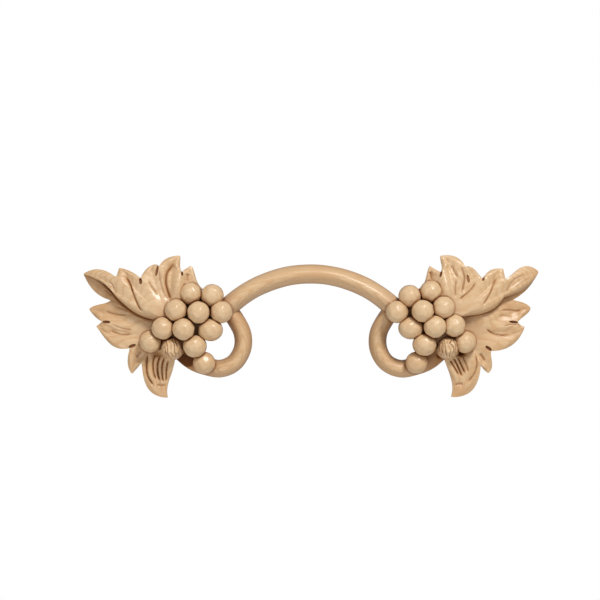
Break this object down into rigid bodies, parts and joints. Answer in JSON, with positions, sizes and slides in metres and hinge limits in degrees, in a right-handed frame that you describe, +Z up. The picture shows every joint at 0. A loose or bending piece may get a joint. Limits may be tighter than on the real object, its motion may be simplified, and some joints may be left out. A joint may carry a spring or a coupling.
{
  "type": "carved onlay",
  "caption": "Carved hardwood grapevine onlay: an arched vine bow between two clusters of grapes and leaves, flat at the back for fixing to a panel or furniture.",
  "frame": {"origin": "on the flat back, behind the middle of the bow at its top", "axes": "+X to the right along the length, +Y into the wall or panel it is fixed to, +Z up; the carving faces -Y"},
  "size_m": [0.3048, 0.0381, 0.0953],
  "materials": {
    "maple": "satin"
  },
  "bodies": {
    "root": {"carved_onlay": "maple"}
  },
  "joints": []
}
